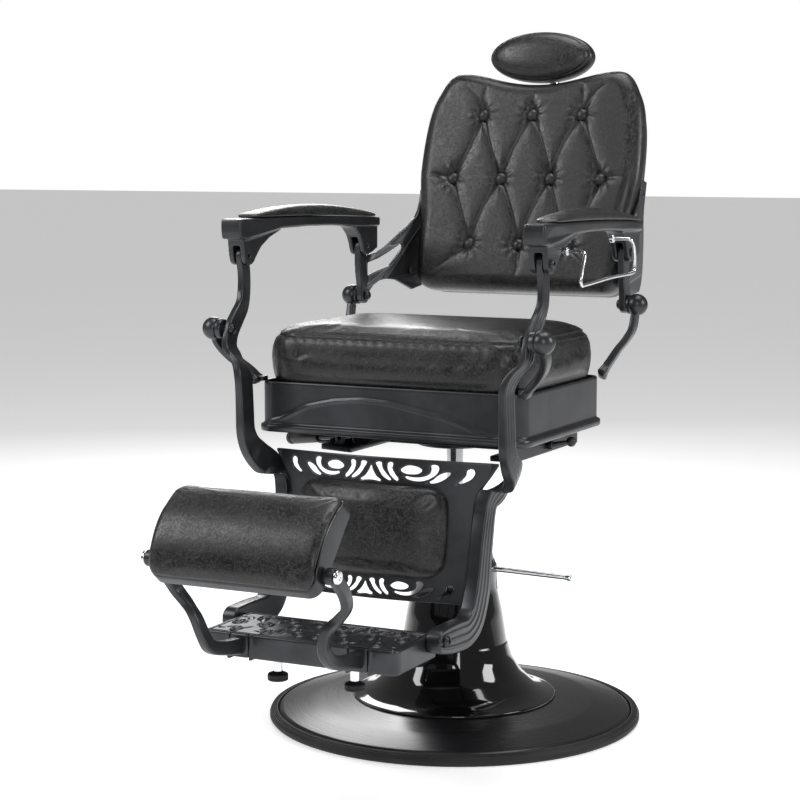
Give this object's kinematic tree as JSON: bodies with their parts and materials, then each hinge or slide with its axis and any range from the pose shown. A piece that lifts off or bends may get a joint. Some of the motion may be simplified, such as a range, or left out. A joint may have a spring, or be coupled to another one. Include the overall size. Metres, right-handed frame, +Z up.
{
  "type": "hydraulic barber chair",
  "caption": "Hydraulic barber chair with a round pump base, tufted reclining back, headrest, padded cast armrests, towel bar, openwork calf panel, footrest and tilting leg pad.",
  "frame": {"origin": "on the floor, on the column's axis, which is also the swivel axis", "axes": "+Z up, -Y the way the sitter faces, +X towards the sitter's left"},
  "size_m": [0.6838, 1.2844, 1.2638],
  "materials": {
    "gunmetal_casting": "satin gunmetal paint on cast metal",
    "black_cover": "gloss black enamel",
    "dark_base": "satin charcoal paint",
    "black_rubber": "matt",
    "chrome": "polished",
    "bolt_steel": "bright plated",
    "machined_steel": "turned, lightly oiled",
    "black_leather": "semi-gloss black faux leather with a fine grain",
    "plywood": "bare birch plywood",
    "grip_plastic": "satin"
  },
  "bodies": {
    "base": {"base_disc": "dark_base", "base_rim": "black_rubber", "column_cover": "black_cover", "pump_cylinder": "machined_steel", "ram_seal": "black_rubber", "pump_lever_pin": "bolt_steel"},
    "pump_lever": {"pump_lever": "chrome"},
    "ram": {"ram": "chrome"},
    "seat": {"swivel_hub": "machined_steel", "underseat_frame": "gunmetal_casting", "seat_apron": "gunmetal_casting", "seat_board": "plywood", "seat_cushion": "black_leather", "front_bracket_left": "gunmetal_casting", "front_bracket_right": "gunmetal_casting", "rear_bracket_left": "gunmetal_casting", "rear_bracket_right": "gunmetal_casting", "front_pivot_bolt_left": "bolt_steel", "front_pivot_bolt_right": "bolt_steel", "rear_pivot_bolt_left": "bolt_steel", "rear_pivot_bolt_right": "bolt_steel"},
    "recline_lever": {"recline_lever": "machined_steel", "recline_grip": "grip_plastic"},
    "lock_lever": {"lock_lever": "machined_steel"},
    "back": {"back_frame_left": "gunmetal_casting", "back_frame_right": "gunmetal_casting", "back_board": "plywood", "back_cushion": "black_leather", "headrest_socket": "gunmetal_casting"},
    "headrest_post": {"headrest_post": "chrome"},
    "headrest": {"headrest_plate": "gunmetal_casting", "headrest_cushion": "black_leather"},
    "arm_left": {"armrest_left": "gunmetal_casting", "arm_pad_left": "black_leather", "arm_pin_front_left": "bolt_steel", "arm_pin_rear_left": "bolt_steel", "towel_bar": "chrome"},
    "arm_right": {"armrest_right": "gunmetal_casting", "arm_pad_right": "black_leather", "arm_pin_front_right": "bolt_steel", "arm_pin_rear_right": "bolt_steel"},
    "leg_frame": {"side_frame_left": "gunmetal_casting", "side_frame_right": "gunmetal_casting", "calf_panel": "gunmetal_casting", "calf_pad": "black_leather", "footrest_bolt_left": "bolt_steel", "footrest_bolt_right": "bolt_steel"},
    "footrest": {"footrest": "gunmetal_casting", "foot_stem_left": "chrome", "foot_stem_right": "chrome", "foot_pad_left": "black_rubber", "foot_pad_right": "black_rubber", "leg_arm_left": "gunmetal_casting", "leg_arm_right": "gunmetal_casting", "leg_arm_knob_left": "chrome", "leg_arm_knob_right": "chrome"},
    "leg_pad": {"leg_tray": "gunmetal_casting", "leg_cushion": "black_leather"}
  },
  "joints": [
    {"name": "pump_lever", "type": "hinge", "parent": "base", "child": "pump_lever", "pos_m": [0.0434, 0.0152, 0.277], "axis": [-0.3305, 0.9438, 0], "range_deg": [0, 18], "stiffness_Nm_per_rad": 4, "springref_deg": -5.73},
    {"name": "ram_lift", "type": "slide", "parent": "base", "child": "ram", "axis": [0, 0, 1], "range_m": [-0.1, 0.04]},
    {"name": "seat_swivel", "type": "hinge", "parent": "ram", "child": "seat", "pos_m": [0, 0, 0.49], "axis": [0, 0, 1], "continuous": true},
    {"name": "recline_lever", "type": "hinge", "parent": "seat", "child": "recline_lever", "pos_m": [-0.125, -0.192, 0.533], "axis": [0.3373, 0.9414, 0], "range_deg": [0, 5], "stiffness_Nm_per_rad": 4, "springref_deg": -5.73},
    {"name": "lock_lever", "type": "hinge", "parent": "seat", "child": "lock_lever", "pos_m": [0.214, -0.06, 0.524], "axis": [1, 0, 0], "range_deg": [0, 30]},
    {"name": "back_recline", "type": "hinge", "parent": "seat", "child": "back", "pos_m": [0, 0.151, 0.757], "axis": [-1, 0, 0], "range_deg": [0, 35]},
    {"name": "leg_lift", "type": "hinge", "parent": "seat", "child": "leg_frame", "pos_m": [0, -0.327, 0.728], "axis": [-1, 0, 0], "range_deg": [0, 31]},
    {"name": "arm_left", "type": "hinge", "parent": "back", "child": "arm_left", "pos_m": [0.268, 0.14, 0.852], "axis": [-1, 0, 0], "range_deg": [-41, 0]},
    {"name": "arm_right", "type": "hinge", "parent": "back", "child": "arm_right", "pos_m": [-0.268, 0.14, 0.852], "axis": [-1, 0, 0], "range_deg": [-41, 0]},
    {"name": "headrest_slide", "type": "slide", "parent": "back", "child": "headrest_post", "axis": [0, 0.2656, 0.9641], "range_m": [0, 0.09]},
    {"name": "headrest_tilt", "type": "hinge", "parent": "headrest_post", "child": "headrest", "pos_m": [0, 0.4655, 1.1959], "axis": [1, 0, 0], "range_deg": [-10, 15]},
    {"name": "footrest_fold", "type": "hinge", "parent": "leg_frame", "child": "footrest", "pos_m": [0, -0.462, 0.257], "axis": [-1, 0, 0], "range_deg": [0, 40]},
    {"name": "leg_pad_tilt", "type": "hinge", "parent": "footrest", "child": "leg_pad", "pos_m": [0, -0.76, 0.413], "axis": [1, 0, 0], "range_deg": [-20, 20]}
  ],
  "couplings": [
    {"joint": "leg_lift", "follows": "back_recline", "ratio": 0.87},
    {"joint": "arm_left", "follows": "back_recline", "ratio": -1.143},
    {"joint": "arm_right", "follows": "back_recline", "ratio": -1.143}
  ]
}
